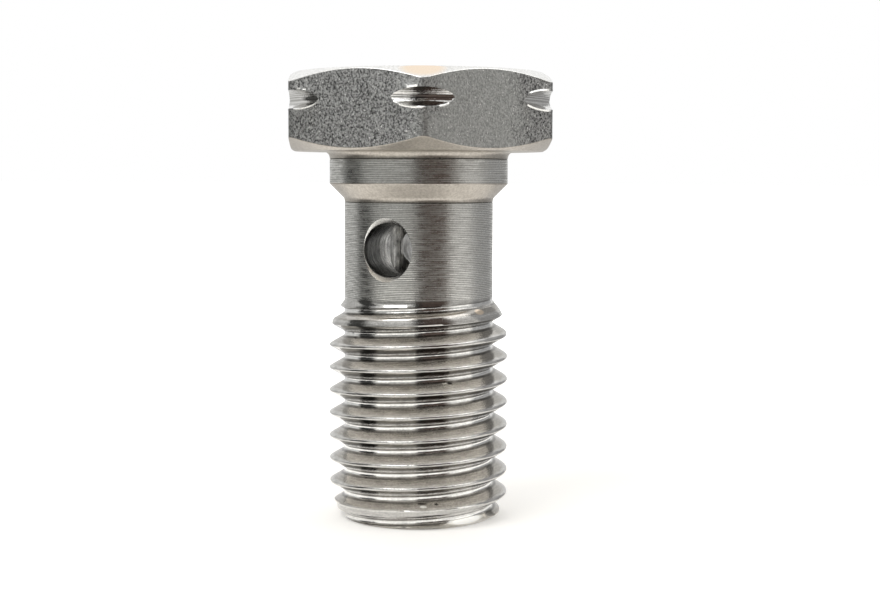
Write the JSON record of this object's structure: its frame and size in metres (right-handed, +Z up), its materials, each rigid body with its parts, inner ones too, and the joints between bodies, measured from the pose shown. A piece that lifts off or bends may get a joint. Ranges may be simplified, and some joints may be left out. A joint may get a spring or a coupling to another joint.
{
  "type": "banjo bolt",
  "caption": "Hexagon-head banjo bolt with a pilot collar, a cross-drilled relieved shank, a right-hand fine thread and a blind bore up its threaded end.",
  "frame": {"origin": "centre of the threaded end face, on which the bolt stands", "axes": "+Z up the bolt's axis from the threaded end to the head; Y along the cross hole, whose opening shown in the picture faces -Y"},
  "size_m": [0.016, 0.0142, 0.0242],
  "materials": {
    "steel": "turned stainless steel, satin on the collar and shank, bright on the thread, with duller drawn flats on the hexagon"
  },
  "bodies": {
    "root": {"banjo_bolt": "steel"}
  },
  "joints": []
}
